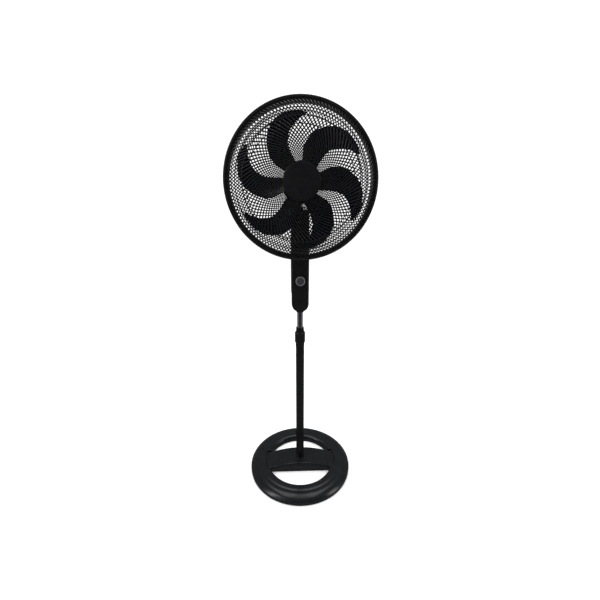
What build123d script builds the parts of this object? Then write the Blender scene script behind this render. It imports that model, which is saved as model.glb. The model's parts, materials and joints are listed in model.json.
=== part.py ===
from build123d import *
import math
import os

# A pedestal fan on a ring-shaped base. Millimetres, +Z up, the fan faces -Y, and the origin is on the
# floor under the column.

# ---- driving dimensions

# base
BASE_R = 205.0
BASE_HOLE_R = 131.0
BASE_BOTTOM = 2.0
BASE_EDGE_TOP = 15.0
BASE_CREASE = (165.0, 26.5)
BASE_CREST = (152.0, 28.0)
BASE_HOLE_TOP = 17.0
BASE_WALL = 3.0
FOOT_R = 11.0
FOOT_H = 2.5
FOOT_RING_R = 168.0
PLATE_T = 3.0
BOSS_RING_R = 144.5
BAR_SCREWS = [(x, y) for x in (-137.5, 137.5) for y in (-25.0, 25.0)]

# arched crossbar
BAR_HALF_WIDTH = 46.0
BAR_TOP = 42.0
BAR_FLANK = (62.0, 36.2)
BAR_DIP = (128.0, 21.2)
BAR_END_TOP = 28.0
BAR_END_R = 143.4
BAR_INNER_R = 130.4
BAR_WALL = 3.0
BAR_GAP = 2.0
LEDGE_TOP = 15.0
LEDGE_T = 3.0
SOCKET_R = 22.0
SOCKET_FLOOR = 9.0

# column
TUBE_R = 16.0
TUBE_WALL = 1.2
TUBE_BOTTOM = 13.0
TUBE_TOP = 546.0
COLLET_FLANGE_TOP = 559.0
COLLET_TOP = 619.0
COLLET_R = 15.5
COLLET_TIP_R = 14.4
NUT_R = 19.5
NUT_TOP = 601.0
STEM_R = 11.0
STEM_WALL = 1.0
STEM_BOTTOM = 150.0
STEM_TOP = 758.0

# neck, which is the control housing
NECK_BOTTOM = 687.0
NECK_WIDTH = 62.0
NECK_REAR_WIDTH = 65.0
NECK_LOW_WIDTH = 59.0
NECK_HALF_DEPTH = 30.0
NECK_STEP_Z = 752.0
NECK_WALL = 2.6
NECK_SPLIT_Y = -2.0
SEAM = 0.3
SLOT_HALF_WIDTH = 10.6
SLOT_BOTTOM = 1000.5
TILT_Z = 1012.0
KNOB_Z = 802.0
KNOB_R = 16.5
NECK_SCREWS = [(x, z) for x in (-20.0, 20.0) for z in (738.0, 940.0)]
STEM_SCREW_Z = 735.0
SLEEVE_R = 13.5
SLEEVE_BOTTOM = 679.0
GLAND_Z = 775.0

# head
AXIS_Z = 1116.0
MOTOR_R = 46.0
STATOR_R = 43.0
BOLT_RING_R = 49.5
ROTOR_R = 20.0
SHAFT_R = 4.0
COVER_R = 57.0
COVER_WALL = 2.6
COVER_FRONT = -46.0
COVER_BACK = 78.0
COVER_OPENING = (-26, 26, -11, 57, 1040, 1078)
GEARBOX = (-18, 31.5, 8.3, 48.5, 1076, 1142)
GEARBOX_INSIDE = (-15.5, 29.3, 11, 46.3, 1078.5, 1139.5)
BEARING_R = 8.0
TIE_R = 2.0
CRANK_Y = 32.0
CRANK_R = 19.0
CLUTCH_X = 17.0
SWIVEL_R = 5.0
PIN_R = 2.5
ROD_R = 2.5
LINK_BOTTOM = 1049.5
LINK_TOP = 1052.5
LINK_PIN = (-36.0, 25.75)
LINK_LENGTH = 36.0
LINK_EYE_R = 4.4
CRANK_REST = 116.6

# guard and blades
GUARD_R = 230.0
RIM_R = 226.0
RIM_INNER_R = 214.0
DOME_R = 219.0
RIB_COUNT = 20
RIB_WIDTH = 2.4
HOOP_RADII = (191.5, 202.0)
GUARD_T = 2.6
RING_FRONT = -118.0
RING_BACK = -88.0
RING_LIP_R = 222.0
RING_LIP_T = 2.2
REAR_HUB_Y = -49.0
CAP_R = 54.5
CAP_Y = -153.0
BLADE_COUNT = 6
BLADE_TIP_R = 199.0
BLADE_Y = -90.0
HUB_R = 30.0
TIP_ANGLE = 85.0

# fits
RUNNING = 0.06
EASY = 0.3


# ---- small builders


def cylinder_z(r, z0, z1, x=0.0, y=0.0):
    return Pos(x, y, (z0 + z1) / 2) * Cylinder(r, z1 - z0)


def cylinder_y(r, y0, y1, x=0.0, z=AXIS_Z):
    return Pos(x, (y0 + y1) / 2, z) * Rot(X=90) * Cylinder(r, y1 - y0)


def cylinder_x(r, x0, x1, y=0.0, z=TILT_Z):
    return Pos((x0 + x1) / 2, y, z) * Rot(Y=90) * Cylinder(r, x1 - x0)


def ring_z(outer, inner, z0, z1, x=0.0, y=0.0):
    return cylinder_z(outer, z0, z1, x, y) - cylinder_z(inner, z0 - 1, z1 + 1, x, y)


def ring_y(outer, inner, y0, y1, x=0.0, z=AXIS_Z):
    return cylinder_y(outer, y0, y1, x, z) - cylinder_y(inner, y0 - 1, y1 + 1, x, z)


def block(x0, x1, y0, y1, z0, z1):
    return Pos((x0 + x1) / 2, (y0 + y1) / 2, (z0 + z1) / 2) * Box(x1 - x0, y1 - y0, z1 - z0)


def hexagon_x(across, x0, x1, y=0.0, z=TILT_Z):
    face = Plane.YZ * RegularPolygon(across / math.sqrt(3), 6)
    return Pos(x0, y, z) * extrude(face, x1 - x0)


def bulged(p, q, rise):
    """An arc from p to q that stands off their chord by rise, to the left of the way from p to q."""
    dx, dy = q[0] - p[0], q[1] - p[1]
    run = math.hypot(dx, dy)
    middle = ((p[0] + q[0]) / 2 - dy / run * rise, (p[1] + q[1]) / 2 + dx / run * rise)
    return ThreePointArc(p, middle, q)


def turned_z(edges):
    """A solid of revolution about Z from edges drawn as (radius, height)."""
    return revolve(Plane.XZ * make_face(edges), Axis.Z)


def turned_y(points):
    """A solid of revolution about the motor axis from corners given as (radius, y)."""
    return Pos(0, 0, AXIS_Z) * revolve(make_face(Polyline(*points, close=True)), Axis.Y)


def around(count, radius, start=0.0):
    for i in range(count):
        a = math.radians(start + 360.0 * i / count)
        yield radius * math.cos(a), radius * math.sin(a)


def save(shape, name):
    solids = shape.solids() if hasattr(shape, "solids") else shape
    export_step(solids[0] if len(solids) == 1 else Compound(children=list(solids)), f"parts/{name}.step")


def save_group(shapes, name):
    export_step(Compound(children=[s for shape in shapes for s in shape.solids()]), f"parts/{name}.step")


# ---- base


def ring_solid(inset):
    """The filled base ring, or with an inset the space inside its wall."""
    r_out, r_in = BASE_R - inset, BASE_HOLE_R + inset
    bottom = BASE_BOTTOM - (1.0 if inset else 0.0)
    edge = (r_out, BASE_EDGE_TOP - inset / 2)
    crease = (BASE_CREASE[0], BASE_CREASE[1] - inset)
    crest = (BASE_CREST[0], BASE_CREST[1] - inset)
    hole = (r_in, BASE_HOLE_TOP)
    shoulder = (r_in + 8.0, crest[1] - 1.6)
    edges = [
        Line((r_in, bottom), (r_out, bottom)),
        Line((r_out, bottom), edge),
        bulged(edge, crease, -5.2),
        bulged(crease, crest, -0.4),
        bulged(crest, shoulder, -0.3),
        bulged(shoulder, hole, -2.0),
        Line(hole, (r_in, bottom)),
    ]
    return turned_z(edges)


def side_pads(r_out, half_width, z0, z1):
    """What a disc of r_out has beyond the base's hole within half_width of the X axis."""
    disc = cylinder_z(r_out, z0, z1)
    return [disc & block(s * 135 - 20, s * 135 + 20, -half_width, half_width, z0, z1) for s in (-1, 1)]


def make_base_ring():
    ring = ring_solid(0) - ring_solid(BASE_WALL)
    for pad in side_pads(BAR_END_R + BAR_GAP, BAR_HALF_WIDTH + 0.6, LEDGE_TOP, 40):
        ring -= pad
    for pad in side_pads(BAR_END_R + 4, BAR_HALF_WIDTH + 3.6, LEDGE_TOP - LEDGE_T, LEDGE_TOP):
        ring += pad - cylinder_z(BASE_HOLE_R, 0, 40)
    for x, y in around(6, BOSS_RING_R, 30):
        ring += cylinder_z(4.4, BASE_BOTTOM + PLATE_T + 0.5, 24.0, x, y)
        ring -= cylinder_z(2.0, 0, 16, x, y)
    for x, y in BAR_SCREWS:
        ring -= cylinder_z(2.2, 0, LEDGE_TOP + 1, x, y)
    return ring


def make_base_weight():
    weight = [(151, 6.0), (197, 6.0), (197, 10.0), (166, 20.5), (151, 21.5)]
    return turned_z(Polyline(*weight, close=True))


def make_base_plate():
    plate = ring_z(BASE_R - BASE_WALL - 0.5, BASE_HOLE_R + BASE_WALL + 0.5, FOOT_H, FOOT_H + PLATE_T)
    for x, y in around(6, BOSS_RING_R, 30):
        plate -= cylinder_z(2.2, 0, 10, x, y)
    for x, y in BAR_SCREWS:
        plate -= cylinder_z(5.0, 0, 10, x, y)
    return plate


def screw_z(x, y, head_r, head_h, shank_r, z_head, z_tip):
    return cylinder_z(head_r, z_head - head_h, z_head, x, y) + cylinder_z(shank_r, z_head, z_tip, x, y)


def make_feet():
    return [cylinder_z(FOOT_R, 0, FOOT_H, x, y) for x, y in around(6, FOOT_RING_R, 0)]


def bar_block(inset):
    """The crossbar's arched side view, extruded across its width."""
    stations = [(BAR_END_R + 2, BAR_END_TOP), BAR_DIP, BAR_FLANK]
    right = [(x, z - inset) for x, z in stations]
    left = [(-x, z) for x, z in right]
    end, corner = right[0]
    edges = [
        Spline(*left, (0, BAR_TOP - inset), *right[::-1]),
        Polyline((end, corner), (end, 0), (-end, 0), (-end, corner)),
    ]
    half = BAR_HALF_WIDTH - inset
    return Pos(0, half, 0) * extrude(Plane.XZ * make_face(edges), 2 * half)


def make_crossbar():
    whole = bar_block(0)
    middle = whole & cylinder_z(BAR_INNER_R, BASE_BOTTOM, 60)
    tongues = whole & cylinder_z(BAR_END_R, LEDGE_TOP + 0.1, 60)
    hollow = bar_block(BAR_WALL) & block(-115, 115, -60, 60, -1, 60)
    bar = middle + tongues - hollow
    bar += cylinder_z(SOCKET_R, SOCKET_FLOOR, BAR_TOP - 1)
    bar -= cylinder_z(TUBE_R + RUNNING, TUBE_BOTTOM, 60)
    bar -= cylinder_z(4.3, 0, 60)
    for x, y in BAR_SCREWS:
        bar -= cylinder_z(1.95, 0, 21, x, y)
    return bar


# ---- column


def make_collet():
    profile = [
        (STEM_R + RUNNING, TUBE_TOP - 46),
        (TUBE_R - TUBE_WALL - 0.05, TUBE_TOP - 46),
        (TUBE_R - TUBE_WALL - 0.05, TUBE_TOP),
        (TUBE_R + 0.7, TUBE_TOP),
        (TUBE_R + 0.7, COLLET_FLANGE_TOP - 1),
        (TUBE_R, COLLET_FLANGE_TOP),
        (COLLET_R, COLLET_FLANGE_TOP),
        (COLLET_R, NUT_TOP + 2),
        (COLLET_TIP_R, COLLET_TOP),
        (STEM_R + RUNNING, COLLET_TOP),
    ]
    collet = turned_z(Polyline(*profile, close=True))
    for i in range(12):
        deep = i % 3 == 0
        cut = block(0, 30, -0.7, 0.7, COLLET_FLANGE_TOP + 6 if deep else NUT_TOP + 3.5, COLLET_TOP + 1)
        collet -= Rot(Z=30.0 * i) * cut
    return collet


def make_locking_nut():
    bore = COLLET_R + EASY
    profile = [
        (bore, COLLET_FLANGE_TOP + EASY),
        (NUT_R - 1.5, COLLET_FLANGE_TOP + EASY),
        (NUT_R, COLLET_FLANGE_TOP + 2.5),
        (NUT_R, NUT_TOP - 3.5),
        (NUT_R - 2.0, NUT_TOP),
        (bore, NUT_TOP),
    ]
    nut = turned_z(Polyline(*profile, close=True))
    for x, y in around(18, NUT_R + 0.9):
        nut -= cylinder_z(1.7, COLLET_FLANGE_TOP + 6, NUT_TOP - 5, x, y)
    return nut


# ---- neck


def neck_form(width, radius, inset):
    """The neck's closed outer shape for one width, or with an inset the space inside its wall."""
    half_x, half_y = width / 2 - inset, NECK_HALF_DEPTH - inset
    bottom_z = NECK_BOTTOM + NECK_WIDTH / 2
    section = RectangleRounded(2 * half_x, 2 * half_y, radius - inset)
    column = Pos(0, 0, 680) * extrude(section, 400)
    low_r = NECK_WIDTH / 2 - inset
    front_view = block(-40, 40, -40, 40, bottom_z, 1060) + cylinder_y(low_r, -40, 40, z=bottom_z)
    side_view = block(-40, 40, -half_y, half_y, 600, TILT_Z) + cylinder_x(half_y, -40, 40)
    return column & front_view & side_view


def neck_common(shell):
    """What both neck shells share: the lug slot, the tilt bolt's bosses and hole, and the stem's hole."""
    slot = block(-SLOT_HALF_WIDTH, SLOT_HALF_WIDTH, -40, 40, SLOT_BOTTOM, 1060)
    shell -= slot
    shell -= cylinder_x(4.1, -40, 40)
    for side in (-1, 1):
        shell -= cylinder_x(8.2, side * 34.0 - 6.5, side * 34.0 + 6.5)
    shell -= cylinder_z(SLEEVE_R + 0.1, 600, 720)
    return shell


def make_neck_shells():
    slot_wall = SLOT_HALF_WIDTH + NECK_WALL
    solid_slot = block(-slot_wall, slot_wall, -40, 40, SLOT_BOTTOM - NECK_WALL, 1060)
    bosses = cylinder_x(10.5, -40, 40)
    front_half = block(-50, 50, -50, NECK_SPLIT_Y - SEAM / 2, 600, 1100)
    rear_half = block(-50, 50, NECK_SPLIT_Y + SEAM / 2, 50, 600, 1100)

    outer = neck_form(NECK_WIDTH, 9.0, 0)
    inner = neck_form(NECK_WIDTH, 9.0, NECK_WALL) - solid_slot - bosses
    front = (outer - inner) & front_half
    for x, z in NECK_SCREWS:
        front += cylinder_y(4.6, -NECK_HALF_DEPTH + 1, NECK_SPLIT_Y - SEAM / 2, x, z)
        front -= cylinder_y(1.95, -NECK_HALF_DEPTH + 5, 5, x, z)
    front -= cylinder_y(4.7, -40, -20, 0, KNOB_Z)
    front = neck_common(front)

    wide = neck_form(NECK_REAR_WIDTH, 14.0, 0) & block(-50, 50, -50, 50, NECK_STEP_Z, 1100)
    wide = chamfer(wide.faces().sort_by(Axis.Z)[0].edges(), 1.7)
    narrow = neck_form(NECK_LOW_WIDTH, 14.0, 0) & block(-50, 50, -50, 50, 600, NECK_STEP_Z + 5)
    inner = neck_form(NECK_LOW_WIDTH, 14.0, NECK_WALL) - solid_slot - bosses
    rear = ((wide + narrow) - inner) & rear_half
    for x, z in NECK_SCREWS:
        rear += cylinder_y(5.4, NECK_SPLIT_Y + SEAM / 2, NECK_HALF_DEPTH - 1, x, z)
        rear -= cylinder_y(3.8, 8, 60, x, z)
        rear -= cylinder_y(2.1, -5, 10, x, z)
    rear -= cylinder_y(5.0, 20, 40, 0, GLAND_Z)
    return front, neck_common(rear)


def make_knob():
    body = cylinder_y(KNOB_R, -44.0, -33.4, 0, KNOB_Z)
    body = chamfer(body.faces().sort_by(Axis.Y)[0].edges(), 1.4)
    body -= cylinder_y(KNOB_R - 3.0, -50, -43.2, 0, KNOB_Z)
    for x, z in around(24, KNOB_R + 0.35):
        body -= cylinder_y(0.8, -42.0, -30, x, KNOB_Z + z)
    body += block(-1.0, 1.0, -43.7, -43.0, KNOB_Z + 5, KNOB_Z + 13)
    return body - cylinder_y(3.0, -40, -30, 0, KNOB_Z)


def make_switch():
    body = block(-14, 14, -27.2, -10, KNOB_Z - 15, KNOB_Z + 15)
    body += cylinder_y(4.5, -32.8, -27.2, 0, KNOB_Z)
    for x in (-8.0, 0.0, 8.0):
        body += block(x - 2.5, x + 2.5, -10, -5, KNOB_Z - 10, KNOB_Z - 9)
    return body - cylinder_y(3.0 + RUNNING, -40, -13, 0, KNOB_Z)


# ---- tilt and swivel


def make_tilt_bracket():
    lug = cylinder_x(10.5, -10, 10) + block(-10, 10, -9, 9, TILT_Z, 1046)
    flange = cylinder_z(19.0, 1044, 1049)
    px, py = LINK_PIN
    reach = math.hypot(px, py)
    arm = block(0, reach, -6, 6, 1045, 1049) + cylinder_z(6.0, 1045, 1049, reach, 0)
    arm = Rot(Z=math.degrees(math.atan2(py, px))) * arm
    bracket = lug + flange + arm
    bracket -= cylinder_x(4.0 + RUNNING, -20, 20)
    bracket -= cylinder_z(SWIVEL_R, 1030, 1060)
    return bracket - cylinder_z(PIN_R, 1040, 1060, px, py)


def make_link():
    px, py = LINK_PIN
    rest = math.radians(CRANK_REST)
    dx, dy = CRANK_R * math.cos(rest) - px, CRANK_Y + CRANK_R * math.sin(rest) - py
    bar = block(0, LINK_LENGTH, -3.0, 3.0, LINK_BOTTOM, LINK_TOP)
    for x in (0.0, LINK_LENGTH):
        bar += cylinder_z(LINK_EYE_R, LINK_BOTTOM, LINK_TOP, x, 0)
        bar -= cylinder_z(PIN_R + RUNNING, 1040, 1060, x, 0)
    return Pos(px, py, 0) * Rot(Z=math.degrees(math.atan2(dy, dx))) * bar


# ---- motor


def ears(y0, y1):
    return [cylinder_y(4.4, y0, y1, x, AXIS_Z + z) for x, z in around(4, BOLT_RING_R, 45)]


def make_front_bell():
    bell = ring_y(MOTOR_R, MOTOR_R - 3, -48, -36)
    bell += cylinder_y(MOTOR_R - 2, -48, -45) + cylinder_y(17, -58, -47)
    for ear in ears(-44, -36):
        bell += ear
    bell -= cylinder_y(BEARING_R, -60, -46)
    bell -= cylinder_y(5.0, -60, -30)
    for x, z in around(4, BOLT_RING_R, 45):
        bell -= cylinder_y(TIE_R + 0.05, -60, 0, x, AXIS_Z + z)
    for x, z in around(8, 30, 0):
        bell -= cylinder_y(5.5, -50, -44, x, AXIS_Z + z)
    return bell + ring_y(12, BEARING_R, -47, -44.4)


def make_rear_bell():
    bell = ring_y(MOTOR_R, MOTOR_R - 3, -10, 8) + cylinder_y(MOTOR_R - 2, 5, 8) + cylinder_y(11, -1, 6)
    for ear in ears(-10, -2):
        bell += ear
    bell -= cylinder_y(BEARING_R, -2, 5)
    bell -= cylinder_y(5.0, -2, 20)
    for x, z in around(4, BOLT_RING_R, 45):
        bell -= cylinder_y(TIE_R + 0.05, -60, 20, x, AXIS_Z + z)
    bell += cylinder_z(8.0, 1050, 1073.5)
    return bell - cylinder_z(SWIVEL_R + RUNNING, 1040, 1068)


def winding_bars(radius):
    return [cylinder_y(radius, -37, -9, x, AXIS_Z + z) for x, z in around(16, 31)]


def make_stator():
    core = ring_y(STATOR_R, ROTOR_R + 0.5, -36, -10)
    for bar in winding_bars(3.3):
        core -= bar
    return core


def make_windings():
    coils = ring_y(38, 24, -43.5, -36.1) + ring_y(38, 24, -9.9, -2.5)
    for bar in winding_bars(3.0):
        coils += bar
    return coils


def make_rotor():
    return ring_y(ROTOR_R, SHAFT_R, -35, -11) + ring_y(ROTOR_R - 2, 14, -38, -8)


def make_worm():
    worm = ring_y(5.0, SHAFT_R, 22, 41)
    for i in range(6):
        worm -= ring_y(6.0, 4.5, 23.2 + 3.0 * i, 24.6 + 3.0 * i)
    return worm


def toothed(r_out, depth, teeth, z0, z1, x, y):
    gear = cylinder_z(r_out, z0, z1, x, y)
    notch = math.pi * r_out / teeth / 2
    for tx, ty in around(teeth, r_out):
        gear -= cylinder_z(min(notch, depth), z0 - 1, z1 + 1, x + tx, y + ty)
    return gear


def make_worm_wheel():
    wheel = toothed(11.7, 1.2, 22, 1112, 1120, CLUTCH_X, CRANK_Y)
    wheel += cylinder_z(ROD_R, 1078.8, 1124, CLUTCH_X, CRANK_Y)
    return wheel + toothed(4.0, 0.9, 8, 1079, 1088, CLUTCH_X, CRANK_Y)


def make_crank_gear():
    gear = toothed(12.7, 0.9, 26, 1080, 1086, 0, CRANK_Y)
    return gear + cylinder_z(3.0, 1056, 1088, 0, CRANK_Y)


def make_crank_arm():
    arm = block(0, CRANK_R, -4, 4, 1056, 1060) + cylinder_z(5.5, 1056, 1062)
    arm += cylinder_z(4.0, 1056, 1060, CRANK_R) + cylinder_z(2.4, 1053.2, 1057, CRANK_R)
    return Pos(0, CRANK_Y, 0) * Rot(Z=CRANK_REST) * (arm - cylinder_z(3.0, 1050, 1070))


def make_gearbox():
    case = chamfer(block(*GEARBOX).edges().filter_by(Axis.Z), 6.0)
    case -= chamfer(block(*GEARBOX_INSIDE).edges().filter_by(Axis.Z), 5.0)
    case -= cylinder_y(5.2, 0, 15)
    case -= cylinder_z(3.0 + RUNNING, 1060, 1080, 0, CRANK_Y)
    case -= cylinder_z(ROD_R + RUNNING, 1130, 1150, CLUTCH_X, CRANK_Y)
    case += cylinder_y(5.0, 47, 70, 0, AXIS_Z) - cylinder_y(2.0, 55, 75, 0, AXIS_Z)
    return case


def cover_edges(inset):
    r, back = COVER_R - inset, COVER_BACK - inset
    front = COVER_FRONT - (1.0 if inset else 0.0)
    return [
        Line((0, front), (r, front)),
        Line((r, front), (r, 38)),
        bulged((r, 38), (r * 0.62, back - 6), -5.5),
        bulged((r * 0.62, back - 6), (0, back), -2.0),
        Line((0, back), (0, front)),
    ]


def make_motor_cover():
    outer, inner = [Pos(0, 0, AXIS_Z) * revolve(make_face(cover_edges(i)), Axis.Y) for i in (0, COVER_WALL)]
    cover = outer - inner
    cover -= block(*COVER_OPENING)
    cover -= cylinder_z(ROD_R + EASY, 1140, 1190, CLUTCH_X, CRANK_Y)
    cover -= cylinder_y(2.3, 60, 90)
    for row in range(-3, 4):
        half = math.sqrt(44.0**2 - (9.0 * row) ** 2)
        for side in (-1, 1):
            x0, x1 = sorted((side * 10.0, side * half))
            cover -= block(x0, x1, 52, 90, AXIS_Z + 9.0 * row - 1.6, AXIS_Z + 9.0 * row + 1.6)
    return cover


# ---- guard


def dome_band(r_in, r_out, thickness, rim_y, depth, power):
    """A shell that follows a guard's side view, a superellipse, between two radii, in flat steps."""
    steps = 7
    reach = [min(r / DOME_R, 1.0) ** (power / 2) for r in (r_in, r_out)]
    a0, a1 = [math.asin(x) for x in reach]
    middle = []
    for i in range(steps + 1):
        a = a0 + (a1 - a0) * i / steps
        bend = 2 / power
        middle.append((DOME_R * math.sin(a) ** bend, rim_y + depth * abs(math.cos(a)) ** bend))
    near, far = [], []
    for i, (r, y) in enumerate(middle):
        before, after = middle[max(i - 1, 0)], middle[min(i + 1, steps)]
        run = math.hypot(after[0] - before[0], after[1] - before[1])
        shift_r = -(after[1] - before[1]) / run * thickness / 2
        shift_y = (after[0] - before[0]) / run * thickness / 2
        near.append((r - shift_r, y - shift_y))
        far.append((r + shift_r, y + shift_y))
    return turned_y(near + far[::-1])


def spiral_rib(r_in, r_out, lean):
    """One rib seen from the front: a logarithmic spiral that leans from the radius by a fixed angle."""
    sides = ([], [])
    steps = 5
    for i in range(steps + 1):
        r = r_in * (r_out / r_in) ** (i / steps)
        turn = math.tan(math.radians(lean)) * math.log(r / r_in)
        across = turn + math.radians(lean) + math.pi / 2
        for side, points in zip((-1, 1), sides):
            x = r * math.cos(turn) + side * RIB_WIDTH / 2 * math.cos(across)
            z = r * math.sin(turn) + side * RIB_WIDTH / 2 * math.sin(across)
            points.append((x, z))
    left, right = sides
    rib = extrude(Plane.XZ * make_face(Polyline(*left, *right[::-1], close=True)), 220)
    return Pos(0, 20, AXIS_Z) * rib


def guard_ribs(lean, **shape):
    rib = spiral_rib(51.5, DOME_R + 3, lean) & dome_band(50.0, DOME_R, GUARD_T, **shape)
    solid = rib.solids().sort_by(SortBy.VOLUME)[-1]
    middle = Axis((0, 0, AXIS_Z), (0, 1, 0))
    return [solid.rotate(middle, 360.0 * i / RIB_COUNT) for i in range(RIB_COUNT)]


def make_rear_guard():
    shape = dict(rim_y=-92.0, depth=92.0 + REAR_HUB_Y, power=2.6)
    guard = ring_y(RIM_R, RIM_INNER_R, -102.5, -90.5)
    guard += ring_y(54.0, 17.4, -50.5, -48.0)
    guard += [dome_band(r, r + 2.4, GUARD_T + 0.8, **shape) for r in HOOP_RADII]
    return guard + guard_ribs(-42.0, **shape)


def make_front_guard():
    shape = dict(rim_y=-114.0, depth=CAP_Y + 114.0 + 1.5, power=2.4)
    guard = ring_y(RIM_R, RIM_INNER_R, -115.5, -103.5)
    guard += ring_y(54.0, 12.0, -152.6, -150.0)
    guard += [dome_band(r, r + 2.4, GUARD_T + 0.8, **shape) for r in HOOP_RADII]
    return guard + guard_ribs(38.0, **shape)


def make_guard_ring():
    ring = ring_y(GUARD_R, RIM_R + 0.3, RING_FRONT, RING_BACK)
    ring += ring_y(GUARD_R, RING_LIP_R, RING_FRONT, RING_FRONT + RING_LIP_T)
    return ring + ring_y(GUARD_R, RING_LIP_R, RING_BACK - RING_LIP_T, RING_BACK)


def make_guard_cap():
    edge = [(CAP_R, CAP_Y), (CAP_R, CAP_Y - 1.6), (CAP_R - 7, CAP_Y - 3.2)]
    return turned_y([(0, CAP_Y), *edge, (0, CAP_Y - 4.2)])


# ---- blades


def blade_section(r, centre, chord, pitch, thickness):
    """A thin rectangle across the blade at radius r, in the plane square to the radius there."""
    a = math.radians(centre)
    plane = Plane(
        origin=(r * math.cos(a), BLADE_Y, r * math.sin(a)),
        x_dir=(-math.sin(a), 0, math.cos(a)),
        z_dir=(math.cos(a), 0, math.sin(a)),
    )
    return plane * Rot(Z=pitch) * Rectangle(chord, thickness)


def blade_outline(tip):
    """A sickle seen from the front: the angle of each edge ahead of the tip, at its radius."""
    leading = [(26, 12), (60, 17), (90, 22.5), (122, 23), (150, 18), (176, 9), (BLADE_TIP_R - 4, 0.5)]
    trailing = [
        (BLADE_TIP_R, 6), (197, 17), (188, 28.5), (168, 40), (140, 50.5), (105, 60), (75, 62), (26, 52),
    ]
    ahead, behind = [
        [(r * math.cos(math.radians(tip + a)), r * math.sin(math.radians(tip + a))) for r, a in side]
        for side in (leading, trailing)
    ]
    edges = [Spline(*ahead), bulged(ahead[-1], behind[0], 0.8), Spline(*behind), Line(behind[-1], ahead[0])]
    return Pos(0, 40, 0) * extrude(Plane.XZ * make_face(edges), 220)


def make_blade(tip):
    # radius, angle ahead of the tip, chord, pitch and thickness of the slab that the outline is cut from
    stations = [
        (24, 37, 56, 44, 3.4), (90, 40, 84, 36, 2.9), (140, 35, 108, 28, 2.5),
        (172, 27, 112, 24, 2.2), (190, 18, 92, 21, 2.0), (203, 9, 60, 19, 1.8),
    ]
    slab = loft([blade_section(r, tip + ahead, chord, pitch, t) for r, ahead, chord, pitch, t in stations])
    return slab & blade_outline(tip)


def make_impeller():
    blade = Pos(0, 0, AXIS_Z) * make_blade(TIP_ANGLE)
    solid = blade.solids().sort_by(SortBy.VOLUME)[-1]
    middle = Axis((0, 0, AXIS_Z), (0, 1, 0))
    impeller = turned_y([(4, -62), (12, -62), (12, -104), (26, -104), (26, -62), (HUB_R, -62),
                         (HUB_R, -106), (HUB_R - 4, -110), (4, -110)])
    blades = [solid.rotate(middle, 360.0 * i / BLADE_COUNT) for i in range(BLADE_COUNT)]
    return impeller + [b - cylinder_y(26.5, -140, -40) for b in blades]


# ---- every piece


def make_base():
    save(make_base_ring(), "base_ring")
    save(make_base_weight(), "base_weight")
    save(make_base_plate(), "base_plate")
    base_screws = [screw_z(x, y, 3.8, 1.4, 1.95, FOOT_H, 15) for x, y in around(6, BOSS_RING_R, 30)]
    save_group(base_screws, "base_screws")
    save_group(make_feet(), "rubber_feet")
    save(make_crossbar(), "crossbar")
    bar_screws = [screw_z(x, y, 3.8, 2.0, 1.9, LEDGE_TOP - LEDGE_T, 20) for x, y in BAR_SCREWS]
    save_group(bar_screws, "crossbar_screws")


def make_column():
    save(ring_z(TUBE_R, TUBE_R - TUBE_WALL, TUBE_BOTTOM, TUBE_TOP), "outer_tube")
    plug = cylinder_z(TUBE_R - TUBE_WALL - 0.05, TUBE_BOTTOM, TUBE_BOTTOM + 28)
    save(plug - cylinder_z(4.0, 0, TUBE_BOTTOM + 24), "foot_plug")
    save(ring_z(12.0, 4.4, SOCKET_FLOOR - 1.6, SOCKET_FLOOR), "column_washer")
    head = extrude(RegularPolygon(7.0, 6), 5.0)
    bolt = Pos(0, 0, SOCKET_FLOOR - 6.6) * head + cylinder_z(3.95, SOCKET_FLOOR - 1.6, TUBE_BOTTOM + 22)
    save(bolt, "column_bolt")
    save(make_collet(), "collet")
    save(make_locking_nut(), "locking_nut")
    stem = ring_z(STEM_R, STEM_R - STEM_WALL, STEM_BOTTOM, STEM_TOP)
    save(stem - cylinder_y(2.0, -20, 0, 0, STEM_SCREW_Z), "inner_tube")
    save(ring_z(TUBE_R - TUBE_WALL - 0.1, STEM_R, STEM_BOTTOM, STEM_BOTTOM + 25), "inner_bushing")


def make_neck():
    front, rear = make_neck_shells()
    save(front, "neck_front_shell")
    save(rear, "neck_rear_shell")
    socket = ring_z(SLEEVE_R, STEM_R, SLEEVE_BOTTOM, STEM_TOP) + cylinder_z(SLEEVE_R, STEM_TOP, STEM_TOP + 4)
    save(socket - cylinder_y(2.0, -20, 0, 0, STEM_SCREW_Z), "stem_socket")
    screw = cylinder_y(1.95, -13.6, -STEM_R + 4, 0, STEM_SCREW_Z)
    save(screw + cylinder_y(3.6, -16.2, -13.6, 0, STEM_SCREW_Z), "stem_screw")
    screws = [cylinder_y(3.5, 8, 10.4, x, z) + cylinder_y(1.9, -22, 8, x, z) for x, z in NECK_SCREWS]
    save_group(screws, "neck_screws")
    save(ring_y(22.5, 8.0, -31.6, -30.0, 0, KNOB_Z), "knob_bezel")
    save(make_knob(), "speed_knob")
    save(cylinder_y(3.0, -40, -14, 0, KNOB_Z), "switch_shaft")
    save(make_switch(), "rotary_switch")
    save(ring_y(7.2, 4.55, -32.4, -30.0, 0, KNOB_Z), "switch_nut")
    save(block(-13, 13, 4, 18, 850, 888), "run_capacitor")
    gland = ring_y(4.95, 3.2, 25, 38, 0, GLAND_Z) + ring_y(7.5, 3.2, 30, 33, 0, GLAND_Z)
    save(gland, "cord_gland")
    save(cylinder_x(4.0, -27.5, 31) + hexagon_x(12.5, -31.5, -27.5), "tilt_bolt")
    save(hexagon_x(12.5, 27.6, 31.5) - cylinder_x(4.05, 20, 40), "tilt_nut")


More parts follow.
